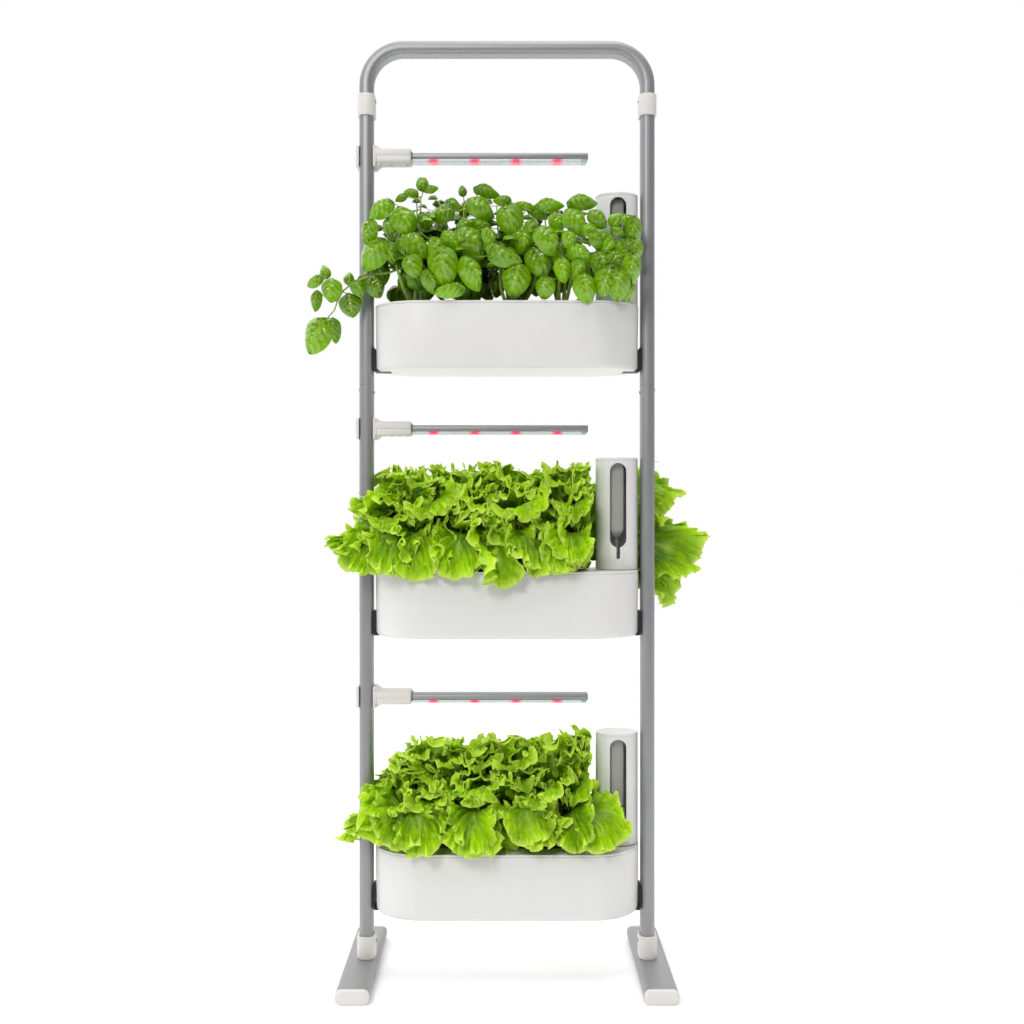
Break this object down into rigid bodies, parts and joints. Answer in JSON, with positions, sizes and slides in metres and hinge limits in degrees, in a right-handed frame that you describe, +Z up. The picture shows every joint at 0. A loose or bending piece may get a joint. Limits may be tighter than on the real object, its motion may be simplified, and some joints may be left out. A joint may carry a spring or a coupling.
{
  "type": "vertical hydroponic garden",
  "caption": "Free-standing rack of planters between two posts, each with a water tower with a level window and a height-adjustable grow lamp over leafy plants.",
  "frame": {"origin": "middle of the footprint on the floor, under the frame's mid plane", "axes": "+Z up the posts, +X to the right seen from the front, where the water towers are, front with the level windows at -Y"},
  "size_m": [0.666, 0.318, 1.5],
  "materials": {
    "steel": "satin powder coat, mid grey",
    "nylon": "satin moulded nylon, warm white",
    "abs": "satin moulded plastic, white",
    "black": "matt moulded plastic, black",
    "gauge": "satin moulded plastic, grey",
    "bar": "satin anodised aluminium, grey",
    "board": "white solder mask",
    "diffuser": "clear moulded plastic, glossy",
    "basil": "fresh leaf, deep green",
    "lettuce": "fresh leaf, light green"
  },
  "bodies": {
    "garden": {"top_hoop": "steel", "post_left_lower": "steel", "post_left_upper": "steel", "sleeve_left": "nylon", "socket_left": "nylon", "foot_left": "steel", "foot_cap_left_front": "nylon", "foot_cap_left_rear": "nylon", "post_right_lower": "steel", "post_right_upper": "steel", "sleeve_right": "nylon", "socket_right": "nylon", "foot_right": "steel", "foot_cap_right_front": "nylon", "foot_cap_right_rear": "nylon", "tub_low": "abs", "deck_low": "abs", "grow_tray_low": "black", "bracket_left_low": "black", "bracket_right_low": "black", "lettuce_low_left": "lettuce", "lettuce_low_right": "lettuce", "tower_casing_low": "abs", "tub_middle": "abs", "deck_middle": "abs", "grow_tray_middle": "black", "bracket_left_middle": "black", "bracket_right_middle": "black", "lettuce_middle_left": "lettuce", "lettuce_middle_right": "lettuce", "tower_casing_middle": "abs", "tub_top": "abs", "deck_top": "abs", "grow_tray_top": "black", "bracket_left_top": "black", "bracket_right_top": "black", "basil_top_left": "basil", "basil_top_right": "basil", "tower_casing_top": "abs"},
    "lamp_low": {"lamp_clamp_low": "nylon", "lamp_arm_cover_low": "nylon", "lamp_housing_low": "bar", "led_board_low": "board", "lamp_diffuser_low": "diffuser"},
    "cap_low": {"tower_cap_low": "abs"},
    "gauge_low": {"level_gauge_low": "gauge"},
    "lamp_middle": {"lamp_clamp_middle": "nylon", "lamp_arm_cover_middle": "nylon", "lamp_housing_middle": "bar", "led_board_middle": "board", "lamp_diffuser_middle": "diffuser"},
    "cap_middle": {"tower_cap_middle": "abs"},
    "gauge_middle": {"level_gauge_middle": "gauge"},
    "lamp_top": {"lamp_clamp_top": "nylon", "lamp_arm_cover_top": "nylon", "lamp_housing_top": "bar", "led_board_top": "board", "lamp_diffuser_top": "diffuser"},
    "cap_top": {"tower_cap_top": "abs"},
    "gauge_top": {"level_gauge_top": "gauge"}
  },
  "joints": [
    {"name": "lamp_height_low", "type": "slide", "parent": "garden", "child": "lamp_low", "axis": [0, 0, 1], "range_m": [-0.025, 0.075]},
    {"name": "lamp_height_middle", "type": "slide", "parent": "garden", "child": "lamp_middle", "axis": [0, 0, 1], "range_m": [-0.03, 0.03]},
    {"name": "lamp_height_top", "type": "slide", "parent": "garden", "child": "lamp_top", "axis": [0, 0, 1], "range_m": [-0.018, 0.045]},
    {"name": "cap_lift_low", "type": "slide", "parent": "garden", "child": "cap_low", "axis": [0, 0, 1], "range_m": [0, 0.045]},
    {"name": "cap_lift_middle", "type": "slide", "parent": "garden", "child": "cap_middle", "axis": [0, 0, 1], "range_m": [0, 0.045]},
    {"name": "cap_lift_top", "type": "slide", "parent": "garden", "child": "cap_top", "axis": [0, 0, 1], "range_m": [0, 0.045]},
    {"name": "water_level_low", "type": "slide", "parent": "garden", "child": "gauge_low", "axis": [0, 0, 1], "range_m": [-0.044, 0]},
    {"name": "water_level_middle", "type": "slide", "parent": "garden", "child": "gauge_middle", "axis": [0, 0, 1], "range_m": [-0.044, 0]},
    {"name": "water_level_top", "type": "slide", "parent": "garden", "child": "gauge_top", "axis": [0, 0, 1], "range_m": [-0.044, 0]}
  ]
}
